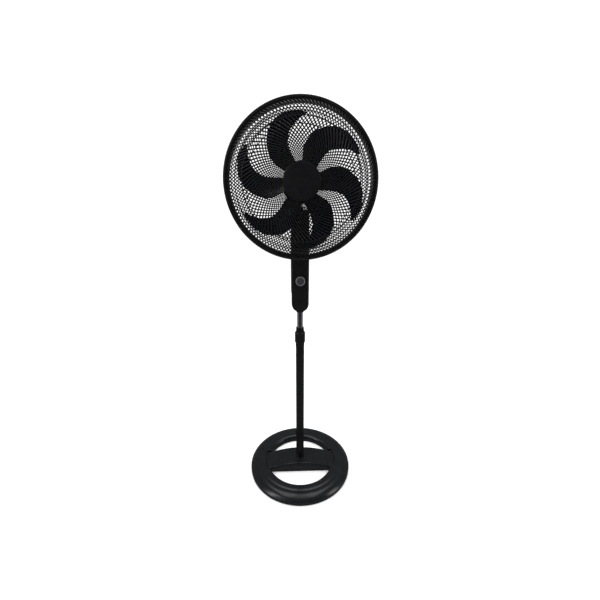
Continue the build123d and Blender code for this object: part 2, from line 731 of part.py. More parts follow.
def make_tilt():
    px, py = LINK_PIN
    save(make_tilt_bracket(), "tilt_bracket")
    save(cylinder_z(SWIVEL_R, 1034, 1067), "swivel_pin")
    save(ring_z(8.2, 5.3, 1049, 1049.9), "swivel_washer")
    save(cylinder_z(PIN_R, 1045, 1054, px, py), "link_pin")
    save(make_link(), "osc_link")


def make_motor():
    save(make_front_bell(), "motor_front_bell")
    save(make_rear_bell(), "motor_rear_bell")
    save(make_stator(), "stator_core")
    save(make_windings(), "windings")
    save(make_rotor(), "rotor_core")
    save(ring_y(BEARING_R, SHAFT_R + RUNNING, -57, -47), "front_bearing")
    save(ring_y(BEARING_R, SHAFT_R + RUNNING, -1, 4.9), "rear_bearing")
    places = [(x, AXIS_Z + z) for x, z in around(4, BOLT_RING_R, 45)]
    bolts = [cylinder_y(TIE_R, -44, 0, x, z) + cylinder_y(3.2, -46.4, -44, x, z) for x, z in places]
    save_group(bolts, "tie_bolts")
    save(cylinder_y(SHAFT_R, -122, 43), "motor_shaft")
    save(make_worm(), "worm")
    save(make_worm_wheel(), "worm_wheel")
    save(make_crank_gear(), "crank_gear")
    save(make_crank_arm(), "crank_arm")
    save(make_gearbox(), "gearbox_case")
    save(make_motor_cover(), "motor_cover")
    save(cylinder_y(1.95, 56, 78.5) + cylinder_y(4.2, 78.5, 81), "cover_screw")
    knob = cylinder_z(7.0, 1173.5, 1190, CLUTCH_X, CRANK_Y)
    knob = chamfer(knob.faces().sort_by(Axis.Z)[-1].edges(), 1.5)
    save(knob - cylinder_z(ROD_R, 1170, 1184, CLUTCH_X, CRANK_Y), "osc_pull_knob")
    save(cylinder_z(ROD_R, 1127, 1184, CLUTCH_X, CRANK_Y), "clutch_rod")


def make_guard():
    save(make_rear_guard(), "rear_guard")
    nut = ring_y(24.0, 17.05, -58.5, -50.6)
    for x, z in around(12, 25.0):
        nut -= cylinder_y(2.4, -60, -50, x, AXIS_Z + z)
    save(nut, "guard_nut")
    save(make_guard_ring(), "guard_ring")
    save(make_front_guard(), "front_guard")
    save(make_guard_cap(), "guard_cap")
    save(make_impeller(), "impeller")
    nut = cylinder_y(13.0, -127, -110.1)
    nut = fillet(nut.faces().sort_by(Axis.Y)[0].edges(), 4.0)
    save(nut - cylinder_y(SHAFT_R, -122, -100), "impeller_nut")


os.makedirs("parts", exist_ok=True)
make_base()
make_column()
make_neck()
make_tilt()
make_motor()
make_guard()
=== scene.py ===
import json
import math

import bmesh
import bpy
from mathutils import Matrix, Vector


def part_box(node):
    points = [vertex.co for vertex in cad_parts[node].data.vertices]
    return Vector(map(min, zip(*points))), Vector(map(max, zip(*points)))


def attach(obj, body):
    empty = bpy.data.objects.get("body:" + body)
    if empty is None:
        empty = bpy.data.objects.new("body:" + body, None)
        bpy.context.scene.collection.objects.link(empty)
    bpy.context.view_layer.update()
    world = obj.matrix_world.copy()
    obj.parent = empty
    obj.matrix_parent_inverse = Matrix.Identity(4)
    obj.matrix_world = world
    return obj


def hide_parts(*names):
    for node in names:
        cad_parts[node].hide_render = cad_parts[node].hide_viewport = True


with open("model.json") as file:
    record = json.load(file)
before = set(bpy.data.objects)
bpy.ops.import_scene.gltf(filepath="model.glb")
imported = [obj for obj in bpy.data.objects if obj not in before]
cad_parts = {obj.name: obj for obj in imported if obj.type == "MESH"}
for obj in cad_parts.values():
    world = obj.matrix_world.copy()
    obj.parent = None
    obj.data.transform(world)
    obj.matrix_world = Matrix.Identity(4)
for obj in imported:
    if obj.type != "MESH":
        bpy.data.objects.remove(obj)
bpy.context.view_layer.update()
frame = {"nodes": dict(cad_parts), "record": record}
MM = 0.001
TAU = 2 * math.pi


# ---- places and sizes in millimetres, read from the frame wherever it has them


class Box:
    """A CAD node's box at rest, in millimetres."""

    def __init__(self, node):
        self.lo, self.hi = [Vector(corner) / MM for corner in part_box(node)]
        self.mid = (self.lo + self.hi) / 2
        self.size = self.hi - self.lo


RING = Box("guard_ring")
REAR = Box("rear_guard")
FRONT = Box("front_guard")
CAP = Box("guard_cap")
BASE = Box("base_ring")
BAR = Box("crossbar")
TUBE = Box("outer_tube")
NUT = Box("locking_nut")
STEM = Box("inner_tube")
KNOB = Box("speed_knob")

AXIS_Z = RING.mid.z
GUARD_R = RING.size.x / 2
RIM_R = FRONT.size.x / 2
RIM_DEPTH = 12.0
HUB_DISC_R = 54.0
HUB_DISC_INNER_R = 17.6
DOME_R = RIM_R - 10.0
CAP_R = CAP.size.x / 2
CAP_SEAT_INNER_R = 14.0
BASE_R = BASE.size.x / 2
BASE_HOLE_R = 131.0
TUBE_R = TUBE.size.x / 2
STEM_R = STEM.size.x / 2
TUBE_WALL = 1.2
STEM_WALL = 1.0


# ---- mesh builders: sizes in millimetres, objects in metres


def mesh_piece(name, verts, faces):
    """A mesh object from vertices in millimetres, with its sharp edges marked."""
    mesh = bpy.data.meshes.new(name)
    mesh.from_pydata([Vector(v) * MM for v in verts], [], faces)
    bm = bmesh.new()
    bm.from_mesh(mesh)
    bmesh.ops.remove_doubles(bm, verts=bm.verts, dist=0.005 * MM)
    bmesh.ops.recalc_face_normals(bm, faces=bm.faces)
    finish_bmesh(bm, mesh, 32.0)
    piece = bpy.data.objects.new(name, mesh)
    bpy.context.scene.collection.objects.link(piece)
    return piece


def finish_bmesh(bm, mesh, sharp_deg):
    """Shades the mesh smooth, except over edges that bend by more than an angle."""
    limit = math.radians(sharp_deg)
    for face in bm.faces:
        face.smooth = True
    for edge in bm.edges:
        edge.smooth = not (edge.is_manifold and edge.calc_face_angle(0.0) > limit)
    bm.to_mesh(mesh)
    bm.free()


def rounded(points, radius, steps=4, closed=False):
    """A polyline with its corners rounded. Radius is one number, or one for each corner."""
    count = len(points)
    radii = radius if isinstance(radius, (list, tuple)) else [radius] * count
    out = []
    for i, corner in enumerate(points):
        ends = i in (0, count - 1) and not closed
        if ends or radii[i] <= 0:
            out.append(tuple(corner))
            continue
        here = Vector(corner)
        before = Vector(points[i - 1]) - here
        after = Vector(points[(i + 1) % count]) - here
        half = before.angle(after) / 2
        reach = min(radii[i] / max(math.tan(half), 1e-6), before.length * 0.49, after.length * 0.49)
        start, end = here + before.normalized() * reach, here + after.normalized() * reach
        for k in range(steps + 1):
            t = k / steps
            out.append(tuple(start * (1 - t) ** 2 + here * 2 * t * (1 - t) + end * t * t))
    return out


def rectangle(r0, r1, y0, y1, radius):
    """A closed section between two radii and two heights, with its corners rounded."""
    return rounded([(r0, y0), (r1, y0), (r1, y1), (r0, y1)], radius, closed=True)


def strip_faces(rows, columns, close_rows=False, close_columns=False):
    """Quads over a grid of vertices that are numbered row by row."""
    faces = []
    for i in range(rows if close_rows else rows - 1):
        for j in range(columns if close_columns else columns - 1):
            i2, j2 = (i + 1) % rows, (j + 1) % columns
            faces.append((i * columns + j, i * columns + j2, i2 * columns + j2, i2 * columns + j))
    return faces


def joined(parts):
    """Several (vertices, faces) pairs as one."""
    verts, faces = [], []
    for part_verts, part_faces in parts:
        first = len(verts)
        verts += part_verts
        faces += [tuple(first + n for n in face) for face in part_faces]
    return verts, faces


def turned(profile, axis, centre=(0.0, 0.0, 0.0), segments=128, closed=False, shape=None):
    """Turns (radius, height) points about an axis. shape(angle, radius, height) may move the radius."""
    verts = []
    for r, h in profile:
        for k in range(segments):
            a = TAU * k / segments
            rr = shape(a, r, h) if shape else r
            c, s = rr * math.cos(a), rr * math.sin(a)
            spot = (c, s, h) if axis == "z" else (c, h, s)
            verts.append(Vector(spot) + Vector(centre))
    return verts, strip_faces(len(profile), segments, close_rows=closed, close_columns=True)


def turned_band(profile, segments=256):
    """A closed band turned about the motor axis."""
    return turned(profile, "y", centre=(0, 0, AXIS_Z), segments=segments, closed=True)


def lathe(name, profile, axis, **options):
    return mesh_piece(name, *turned(profile, axis, **options))


def about_motor(name, profile, **options):
    return lathe(name, profile, "y", centre=(0, 0, AXIS_Z), **options)


def smooth_through(points):
    """A smooth function through (x, y) points, by cubic pieces with no overshoot."""
    xs, ys = [p[0] for p in points], [p[1] for p in points]
    slopes = [(ys[i + 1] - ys[i]) / (xs[i + 1] - xs[i]) for i in range(len(xs) - 1)]
    tangents = [slopes[0]]
    for before, after in zip(slopes, slopes[1:]):
        tangents.append(0.0 if before * after <= 0 else 2 * before * after / (before + after))
    tangents.append(slopes[-1])

    def value(x):
        x = min(max(x, xs[0]), xs[-1])
        i = next((k for k in range(len(xs) - 1) if x <= xs[k + 1]), len(xs) - 2)
        h = xs[i + 1] - xs[i]
        t = (x - xs[i]) / h
        return (ys[i] * (1 + 2 * t) * (1 - t) ** 2 + tangents[i] * h * t * (1 - t) ** 2
                + ys[i + 1] * t * t * (3 - 2 * t) + tangents[i + 1] * h * t * t * (t - 1))

    return value


def detailed_copy(node_name, edge_mm, segments=2):
    """A copy of a CAD node's mesh with clean flat faces and rounded edges."""
    mesh = frame["nodes"][node_name].data.copy()
    bm = bmesh.new()
    bm.from_mesh(mesh)
    bmesh.ops.remove_doubles(bm, verts=bm.verts, dist=0.01 * MM)
    bmesh.ops.dissolve_limit(bm, angle_limit=math.radians(0.6), verts=bm.verts, edges=bm.edges)
    finish_bmesh(bm, mesh, 30.0)
    piece = bpy.data.objects.new(f"{node_name}_detailed", mesh)
    bpy.context.scene.collection.objects.link(piece)
    bevel = piece.modifiers.new("edges", "BEVEL")
    bevel.width = edge_mm * MM
    bevel.segments = segments
    bevel.limit_method = "ANGLE"
    bevel.angle_limit = math.radians(40)
    bevel.use_clamp_overlap = True
    bevel.harden_normals = True
    return piece


def place(piece, body, slot, *nodes):
    """Puts a finished piece on its body, in the stead of its CAD nodes."""
    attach(piece, body)
    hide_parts(*nodes)
    piece.data.materials.clear()
    piece.data.materials.append(MATERIALS[slot])
    return piece


# ---- materials


def new_material(name, colour, roughness, metallic=0.0, specular=0.5):
    material = bpy.data.materials.new(name)
    material.use_nodes = True
    shader = material.node_tree.nodes["Principled BSDF"]
    shader.inputs["Base Color"].default_value = (*colour, 1.0)
    shader.inputs["Roughness"].default_value = roughness
    shader.inputs["Metallic"].default_value = metallic
    shader.inputs["Specular IOR Level"].default_value = specular
    return material, material.node_tree, shader


def node(tree, kind, **values):
    made = tree.nodes.new(kind)
    for key, value in values.items():
        made.inputs[key.replace("_", " ")].default_value = value
    return made


def noise(tree, per_mm, detail=3.0, stretch=None):
    """Noise with a real-world scale: per_mm is how many cells fit in a millimetre."""
    place_node = tree.nodes.new("ShaderNodeTexCoord")
    mapping = tree.nodes.new("ShaderNodeMapping")
    mapping.inputs["Scale"].default_value = stretch or (1.0, 1.0, 1.0)
    texture = node(tree, "ShaderNodeTexNoise", Scale=per_mm / MM, Detail=detail, Roughness=0.55)
    tree.links.new(place_node.outputs["Object"], mapping.inputs["Vector"])
    tree.links.new(mapping.outputs["Vector"], texture.inputs["Vector"])
    return texture.outputs["Fac"]


def between(tree, factor, low, high):
    """Maps a 0.3 to 0.7 factor to a range of values."""
    ramp = tree.nodes.new("ShaderNodeMapRange")
    for name, value in zip(("From Min", "From Max", "To Min", "To Max"), (0.3, 0.7, low, high)):
        ramp.inputs[name].default_value = value
    tree.links.new(factor, ramp.inputs["Value"])
    return ramp.outputs["Result"]


def blend_colours(tree, factor, dark, light):
    """Goes from the dark colour to the light one over the middle of a factor's range."""
    ramp = tree.nodes.new("ShaderNodeValToRGB")
    ramp.color_ramp.elements[0].position = 0.35
    ramp.color_ramp.elements[1].position = 0.68
    ramp.color_ramp.elements[0].color = (*dark, 1.0)
    ramp.color_ramp.elements[1].color = (*light, 1.0)
    tree.links.new(factor, ramp.inputs["Fac"])
    return ramp.outputs["Color"]


def bump(tree, shader, height, depth_mm, after=None):
    """Adds bumps of a real-world depth, on top of an earlier bump if one is given."""
    made = node(tree, "ShaderNodeBump", Strength=1.0, Distance=depth_mm * MM)
    tree.links.new(height, made.inputs["Height"])
    if after:
        tree.links.new(after.outputs["Normal"], made.inputs["Normal"])
    tree.links.new(made.outputs["Normal"], shader.inputs["Normal"])
    return made


def finish_surface(name, colour, rough, grain, waves, tint=1.35, metallic=0.0, specular=0.5, stretch=None):
    """A moulded or coated surface: colour and gloss that drift, fine grain, and long shallow waves.

    rough is (low, high); grain and waves are (cells per mm, depth in mm)."""
    material, tree, shader = new_material(name, colour, rough[0], metallic, specular)
    drift = noise(tree, 0.018, 4.0, stretch)
    tree.links.new(between(tree, drift, *rough), shader.inputs["Roughness"])
    light = tuple(min(1.0, c * tint) for c in colour)
    mottle = blend_colours(tree, noise(tree, 0.05, 5.0, stretch), colour, light)
    tree.links.new(mottle, shader.inputs["Base Color"])
    first = bump(tree, shader, noise(tree, waves[0], 2.0), waves[1])
    bump(tree, shader, noise(tree, grain[0], 3.0, stretch), grain[1], first)
    return material


def painted_rim_highlight(material, axis_z, inner_r, outer_r, colour):
    """Paints a highlight on a turned piece: blends its colour to a paler one between two radii about its
    own axis along Y.
    """
    tree = material.node_tree
    shader = tree.nodes["Principled BSDF"]
    face_colour = shader.inputs["Base Color"].links[0].from_socket
    place_node = tree.nodes.new("ShaderNodeTexCoord")
    off_axis = tree.nodes.new("ShaderNodeMapping")
    off_axis.inputs["Location"].default_value = (0.0, 0.0, -axis_z * MM)
    off_axis.inputs["Scale"].default_value = (1.0, 0.0, 1.0)
    distance = tree.nodes.new("ShaderNodeVectorMath")
    distance.operation = "LENGTH"
    rim = tree.nodes.new("ShaderNodeMapRange")
    rim.inputs["From Min"].default_value = inner_r * MM
    rim.inputs["From Max"].default_value = outer_r * MM
    mix = tree.nodes.new("ShaderNodeMix")
    mix.data_type = "RGBA"
    factor, first, second, result = mix.inputs[0], mix.inputs[6], mix.inputs[7], mix.outputs[2]
    # the paler colour is a painted highlight, not a colour of the part
    second.default_value = (*colour, 1.0)
    tree.links.new(place_node.outputs["Object"], off_axis.inputs["Vector"])
    tree.links.new(off_axis.outputs["Vector"], distance.inputs[0])
    tree.links.new(distance.outputs["Value"], rim.inputs["Value"])
    tree.links.new(rim.outputs["Result"], factor)
    tree.links.new(face_colour, first)
    tree.links.new(result, shader.inputs["Base Color"])


BRUSHED_Y = (1.0, 0.12, 1.0)
FINISHES = {
    "base_gloss": dict(colour=(0.0046, 0.0050, 0.0062), rough=(0.16, 0.25), specular=0.34,
                       grain=(1.6, 0.004), waves=(0.03, 0.10)),
    "satin_black": dict(colour=(0.0032, 0.0032, 0.0037), rough=(0.36, 0.46), specular=0.30,
                        grain=(2.6, 0.014), waves=(0.03, 0.05)),
    "guard_plastic": dict(colour=(0.0044, 0.0044, 0.0050), rough=(0.30, 0.40), specular=0.50,
                          grain=(2.0, 0.006), waves=(0.04, 0.04)),
    "cap_plastic": dict(colour=(0.0030, 0.0030, 0.0040), rough=(0.34, 0.44), specular=0.30,
                        grain=(2.2, 0.012), waves=(0.03, 0.05)),
    "blade_plastic": dict(colour=(0.0026, 0.0036, 0.0085), rough=(0.17, 0.26), specular=0.45,
                          grain=(1.4, 0.004), waves=(0.025, 0.12)),
    "under_plastic": dict(colour=(0.010, 0.010, 0.010), rough=(0.50, 0.62), specular=0.35,
                          grain=(1.8, 0.02), waves=(0.05, 0.05)),
    "cast_iron": dict(colour=(0.07, 0.068, 0.066), rough=(0.70, 0.85), metallic=0.6,
                      grain=(0.9, 0.20), waves=(0.10, 0.30)),
    "rubber": dict(colour=(0.015, 0.015, 0.015), rough=(0.75, 0.88), specular=0.3,
                   grain=(2.0, 0.03), waves=(0.06, 0.05)),
    "tube_black": dict(colour=(0.0030, 0.0030, 0.0036), rough=(0.24, 0.33), specular=0.28,
                       grain=(0.9, 0.012), waves=(0.05, 0.03)),
    "chrome": dict(colour=(0.62, 0.63, 0.65), rough=(0.07, 0.15), metallic=1.0, tint=1.08,
                   grain=(3.0, 0.001), waves=(0.02, 0.01), stretch=(1.0, 1.0, 0.06)),
    "zinc": dict(colour=(0.50, 0.50, 0.47), rough=(0.28, 0.42), metallic=1.0, tint=1.2,
                 grain=(2.0, 0.01), waves=(0.2, 0.02)),
    "steel": dict(colour=(0.42, 0.42, 0.43), rough=(0.25, 0.38), metallic=1.0, tint=1.15,
                  grain=(4.0, 0.006), waves=(0.2, 0.01), stretch=BRUSHED_Y),
    "white_nylon": dict(colour=(0.62, 0.60, 0.54), rough=(0.40, 0.52), tint=1.12,
                        grain=(1.5, 0.01), waves=(0.05, 0.05)),
    "switch_body": dict(colour=(0.20, 0.17, 0.13), rough=(0.45, 0.58), tint=1.15,
                        grain=(1.5, 0.02), waves=(0.05, 0.05)),
    "knob_grey": dict(colour=(0.020, 0.020, 0.022), rough=(0.36, 0.46), tint=1.2, specular=0.40,
                      grain=(2.6, 0.010), waves=(0.05, 0.03)),
    "cast_aluminium": dict(colour=(0.46, 0.46, 0.47), rough=(0.48, 0.62), metallic=1.0, tint=1.15,
                           grain=(0.8, 0.06), waves=(0.10, 0.10)),
    "copper": dict(colour=(0.42, 0.16, 0.06), rough=(0.30, 0.42), metallic=1.0, tint=1.3,
                   grain=(3.0, 0.05), waves=(0.2, 0.02), stretch=BRUSHED_Y),
    "bronze": dict(colour=(0.40, 0.27, 0.13), rough=(0.45, 0.60), metallic=1.0, tint=1.2,
                   grain=(2.0, 0.02), waves=(0.2, 0.02)),
}
MATERIALS = {name: finish_surface(name, **finish) for name, finish in FINISHES.items()}
KNOB_R = KNOB.size.x / 2
# painted highlight: the knob's colour goes paler towards its lip and sides
painted_rim_highlight(MATERIALS["knob_grey"], KNOB.mid.z, KNOB_R - 4.2, KNOB_R - 2.8, (0.085, 0.085, 0.090))


# ---- guard


class Dome:
    """A guard's side view: a superellipse from the rim to the middle, about the motor axis."""

    def __init__(self, rim_y, middle_y, power):
        self.rim_y = rim_y
        self.depth = middle_y - rim_y
        self.power = power

    def at(self, a):
        bend = 2 / self.power
        return DOME_R * math.sin(a) ** bend, self.rim_y + self.depth * max(math.cos(a), 0.0) ** bend

    def angle(self, r):
        return math.asin(min(r / DOME_R, 1.0) ** (self.power / 2))


REAR_DOME = Dome(-92.0, REAR.hi.y - 1.0, 2.6)
FRONT_DOME = Dome(-114.0, FRONT.lo.y + 1.1, 2.4)
RIB_INNER_R = 52.0
SPLIT_R = 171.5
# how many ribs, their lean in degrees, the radii they run between, and the steps along each
RIB_ZONES = [(86, 38.8, RIB_INNER_R, SPLIT_R, 20), (129, 41.0, SPLIT_R, DOME_R, 16)]
# radius, width and depth
HOOPS = [(SPLIT_R, 2.6, 3.4), (192.7, 2.0, 3.2), (203.2, 2.4, 3.2)]
RIB_DEPTH = 3.4
RIB_WIDTH = smooth_through([(52, 1.8), (80, 2.6), (120, 3.5), (166, 3.9), (176, 2.9), (215, 2.6)])
# half of an eight-sided section, in half widths and half depths
RIB_SIDE = [(1.0, 0.45), (0.62, 1.0), (-0.62, 1.0), (-1.0, 0.45)]
RIB_SECTION = RIB_SIDE + [(-u, -v) for u, v in RIB_SIDE]


def rib_width(p):
    return RIB_WIDTH(math.hypot(p.x, p.z - AXIS_Z))


def spiral(dome, lean, turn, r_start, r_end, steps):
    """Points along a spiral on the dome, evenly spaced over its side view."""
    a0, a1 = dome.angle(r_start), dome.angle(r_end)
    points = []
    for i in range(steps + 1):
        r, y = dome.at(a0 + (a1 - a0) * i / steps)
        phi = turn + math.tan(math.radians(lean)) * math.log(r / r_start)
        points.append(Vector((r * math.cos(phi), y, AXIS_Z + r * math.sin(phi))))
    return points


def guard_ribs(dome, count, lean, r_start, r_end, steps):
    """One zone of a guard's ribs: bars of an eight-sided section along spirals on the dome."""
    verts, faces = [], []
    size = len(RIB_SECTION)
    for k in range(count):
        path = spiral(dome, lean, TAU * k / count, r_start, r_end, steps)
        first = len(verts)
        for i, p in enumerate(path):
            along = (path[min(i + 1, steps)] - path[max(i - 1, 0)]).normalized()
            outward = Vector((p.x, 0, p.z - AXIS_Z)).normalized()
            round_way = Vector((-outward.z, 0, outward.x))
            profile_way = (along - round_way * along.dot(round_way)).normalized()
            normal = profile_way.cross(round_way).normalized()
            across = along.cross(normal).normalized()
            for u, v in RIB_SECTION:
                verts.append(p + across * (u * rib_width(p) / 2) + normal * (v * RIB_DEPTH / 2))
        sides = strip_faces(steps + 1, size, close_columns=True)
        faces += [tuple(first + n for n in face) for face in sides]
        faces.append(tuple(first + j for j in range(size)))
        faces.append(tuple(first + steps * size + j for j in range(size)))
    return verts, faces


def hoop(dome, r, width, depth):
    """A ring of the guard that follows the dome at one radius."""
    a = dome.angle(r)
    middle, before, after = Vector(dome.at(a)), Vector(dome.at(a - 0.01)), Vector(dome.at(a + 0.01))
    slope = (after - before).normalized()
    normal = Vector((-slope.y, slope.x))
    profile = [middle + slope * (u * width / 2) + normal * (v * depth / 2) for u, v in RIB_SECTION]
    return turned_band(profile, segments=192)


def grille(dome, way):
    """A guard's ribs and hoops. way is 1 or -1, for which way the ribs lean."""
    zones = [guard_ribs(dome, count, way * lean, *span) for count, lean, *span in RIB_ZONES]
    return zones + [hoop(dome, *sizes) for sizes in HOOPS]


def make_front_guard():
    rim_y, middle_y = FRONT.hi.y, FRONT.lo.y
    rim = rectangle(RIM_R - RIM_DEPTH, RIM_R, rim_y - RIM_DEPTH, rim_y, 1.4)
    cap_seat = rectangle(CAP_SEAT_INNER_R, CAP_R - 0.8, middle_y + 0.1, middle_y + 2.4, 0.5)
    parts = grille(FRONT_DOME, 1) + [turned_band(rim), turned_band(cap_seat, 160)]
    place(mesh_piece("front_guard_ribs", *joined(parts)), "head", "guard_plastic", "front_guard")


def make_rear_guard():
    rim_y, middle_y = REAR.lo.y, REAR.hi.y
    rim = rectangle(RIM_R - RIM_DEPTH, RIM_R, rim_y, rim_y + RIM_DEPTH, 1.4)
    hub_disc = rectangle(HUB_DISC_INNER_R, HUB_DISC_R, middle_y - 2.5, middle_y - 0.1, 0.6)
    parts = grille(REAR_DOME, -1) + [turned_band(rim), turned_band(hub_disc, 160)]
    place(mesh_piece("rear_guard_ribs", *joined(parts)), "head", "guard_plastic", "rear_guard")


def make_guard_band():
    """The band that holds the two rims together: a channel, open towards the middle."""
    lip, wall, flange = 8.0, 3.6, 2.2
    front, back, r = RING.lo.y, RING.hi.y, GUARD_R
    corners = [(r - lip, front), (r, front), (r, back), (r - lip, back), (r - lip, back - flange),
               (r - wall, back - flange), (r - wall, front + flange), (r - lip, front + flange)]
    band = rounded(corners, [0.8, 3.6, 3.6, 0.8, 0.5, 0.5, 0.5, 0.5], steps=5, closed=True)
    place(mesh_piece("guard_band", *turned_band(band)), "head", "guard_plastic", "guard_ring")


def make_centre_cap():
    back, front = CAP.hi.y, CAP.lo.y
    corners = [(0.0, back), (CAP_R - 1.5, back), (CAP_R, back - 0.4), (CAP_R, back - 1.9),
               (CAP_R - 6.0, front + 1.1), (CAP_R - 20.0, front + 0.35), (0.0, front + 0.05)]
    profile = rounded(corners, [0, 0, 0.4, 1.4, 8.0, 12.0, 0], steps=8)
    place(about_motor("centre_cap", profile, segments=192), "head", "cap_plastic", "guard_cap")


# ---- blades

HUB_R = 30.0
HUB_WALL = 4.0
HUB_BACK = -62.0
HUB_FRONT = -110.0
HUB_FLOOR = -104.0
BOSS_R = 12.0
SHAFT_HOLE_R = 4.2
CAMBER = 4.2
BLADE_Y = -90.0
FIRST_TIP = 85.0
BLADE_COUNT = 6
EDGE_STEPS = 24
# both edges of the first blade, as (radius, degrees from its tip angle)
LEADING = [(26, 12), (60, 17), (90, 22.5), (122, 23), (150, 18), (176, 9), (195, 0.5), (198.6, 3.0)]
TRAILING = [(26, 52), (75, 62), (105, 60), (140, 50.5), (168, 40), (188, 28.5), (197, 17), (198.9, 8.0),
            (198.6, 3.4)]
SECTION_CENTRE = smooth_through([(24, 37), (90, 40), (140, 35), (172, 27), (190, 18), (203, 9)])
SECTION_PITCH = smooth_through([(24, 44), (90, 36), (140, 28), (172, 24), (190, 21), (203, 19)])
SECTION_THICKNESS = smooth_through([(24, 3.4), (90, 2.8), (140, 2.4), (190, 1.9), (203, 1.7)])


def along_edge(points, samples):
    """Evenly spaced points along a smooth edge that is given as (radius, degrees)."""
    flat = [Vector((r * math.cos(math.radians(a)), r * math.sin(math.radians(a)))) for r, a in points]
    dense = []
    for i in range(len(flat) - 1):
        before = flat[max(i - 1, 0)]
        after = flat[min(i + 2, len(flat) - 1)]
        p, q = flat[i], flat[i + 1]
        for k in range(EDGE_STEPS):
            t = k / EDGE_STEPS
            dense.append(0.5 * ((2 * p) + (q - before) * t + (2 * before - 5 * p + 4 * q - after) * t * t
                                + (3 * p - before - 3 * q + after) * t ** 3))
    dense.append(flat[-1])
    lengths = [0.0]
    for p, q in zip(dense, dense[1:]):
        lengths.append(lengths[-1] + (q - p).length)
    out = []
    j = 0
    for k in range(samples):
        want = lengths[-1] * k / (samples - 1)
        while j < len(dense) - 2 and lengths[j + 1] < want:
            j += 1
        step = lengths[j + 1] - lengths[j]
        out.append(dense[j].lerp(dense[j + 1], (want - lengths[j]) / max(step, 1e-9)))
    return out


def blade_surface(p, v):
    """The blade's middle surface over a flat point, v of the way from the leading to the trailing edge."""
    r, a = p.length, math.degrees(math.atan2(p.y, p.x))
    off = r * math.radians((a - SECTION_CENTRE(r) + 180) % 360 - 180)
    camber = CAMBER * (1 - (2 * v - 1) ** 2) * min(1.0, (205 - r) / 90)
    return Vector((p.x, BLADE_Y - off * math.tan(math.radians(SECTION_PITCH(r))) + camber, p.y))


def blade_mesh(rows=46, columns=26):
    """One blade with its thickness, as rows of closed sections from root to tip."""
    leading, trailing = along_edge(LEADING, rows), along_edge(TRAILING, rows)
    verts = []
    for i in range(rows):
        u = i / (rows - 1)
        middle = []
        for j in range(columns + 1):
            v = 0.5 - 0.5 * math.cos(math.pi * j / columns)
            middle.append((blade_surface(leading[i].lerp(trailing[i], v), v), v))
        centre_i = min(max(i, 1), rows - 2)
        sides = ([], [])
        for j, (p, v) in enumerate(middle):
            ahead = blade_surface(leading[centre_i + 1].lerp(trailing[centre_i + 1], v), v)
            behind = blade_surface(leading[centre_i - 1].lerp(trailing[centre_i - 1], v), v)
            cross = middle[min(j + 1, columns)][0] - middle[max(j - 1, 0)][0]
            normal = (ahead - behind).cross(cross)
            normal = normal.normalized() if normal.length > 1e-9 else Vector((0, 1, 0))
            edge = max(0.0, 1 - abs(2 * v - 1) ** 10) ** 0.5
            half = SECTION_THICKNESS(math.hypot(p.x, p.z)) / 2 * edge * min(1.0, 0.25 + 6 * (1 - u))
            sides[0].append(p + normal * half)
            sides[1].append(p - normal * half)
        verts += sides[0] + sides[1][-2:0:-1]
    size = 2 * columns
    faces = strip_faces(rows, size, close_columns=True)
    faces.append(tuple(range(size)))
    faces.append(tuple((rows - 1) * size + j for j in range(size)))
    return verts, faces


def make_impeller():
    verts, faces = blade_mesh()
    blades = []
    for k in range(BLADE_COUNT):
        turn = Matrix.Rotation(-math.radians(FIRST_TIP + 360.0 * k / BLADE_COUNT), 3, "Y")
        blades.append(([turn @ v + Vector((0, 0, AXIS_Z)) for v in verts], faces))
    inner_r = HUB_R - HUB_WALL
    corners = [(SHAFT_HOLE_R, HUB_BACK), (BOSS_R, HUB_BACK), (BOSS_R, HUB_FLOOR), (inner_r, HUB_FLOOR),
               (inner_r, HUB_BACK), (HUB_R, HUB_BACK), (HUB_R, HUB_FRONT + 4), (HUB_R - 4, HUB_FRONT),
               (SHAFT_HOLE_R, HUB_FRONT)]
    hub = rounded(corners, [0.3, 0.5, 1.5, 1.5, 0.5, 0.8, 3.0, 3.0, 0.3], closed=True)
    wheel = mesh_piece("blades", *joined(blades + [turned_band(hub, 128)]))
    place(wheel, "impeller", "blade_plastic", "impeller")


def make_blade_nut():
    """The nut in front of the blades, with grips round it and a blind hole for the shaft's end."""
    nut = Box("impeller_nut")
    r, back, front = nut.size.x / 2, nut.hi.y, nut.lo.y
    hole_r, hole_end = 4.05, front + 5.0

    def grips(a, radius, y):
        deep = 0.8 * max(0.0, math.cos(12 * a)) ** 3
        return radius - (deep if radius > r - 1.0 and y < back - 3 else 0.0)

    corners = [(0.0, hole_end), (hole_r, hole_end), (hole_r, back), (r, back),
               (r, front + 3.5), (r - 3.5, front), (0.0, front)]
    profile = rounded(corners, [0, 0, 0, 0.8, 3.0, 3.0, 0], steps=6)
    blade_nut = about_motor("blade_nut", profile, segments=144, shape=grips)
    place(blade_nut, "impeller", "guard_plastic", "impeller_nut")


# ---- base

# (radius, height) of the lines where the base ring's slope changes
EDGE = (BASE_R, 15.0)
CREASE = (165.0, 26.5)
CREST = (152.0, 28.0)
SHOULDER = (BASE_HOLE_R + 8, CREST[1] - 1.6)
HOLE_EDGE = (BASE_HOLE_R, 17.0)
POCKET_HALF = 46.5
POCKET_R = BAR.size.x / 2 + 2.0
POCKET_FLOOR = 12.0
POCKET_COLUMNS = 24
OPEN_COLUMNS = 60
BASE_WALL = 2.2
BAR_WALL = 2.4
BAR_EDGE_R = 3.2
BAR_SPANS = 96
TONGUE_Z = 15.2


def arc_points(p, q, rise, steps):
    """Points from p to q on a shallow arc whose middle stands rise off the chord, to its right."""
    p, q = Vector(p), Vector(q)
    side = Vector(((q - p).y, -(q - p).x)).normalized()
    ways = [k / steps for k in range(steps + 1)]
    return [tuple(p.lerp(q, t) + side * (4 * rise * t * (1 - t))) for t in ways]


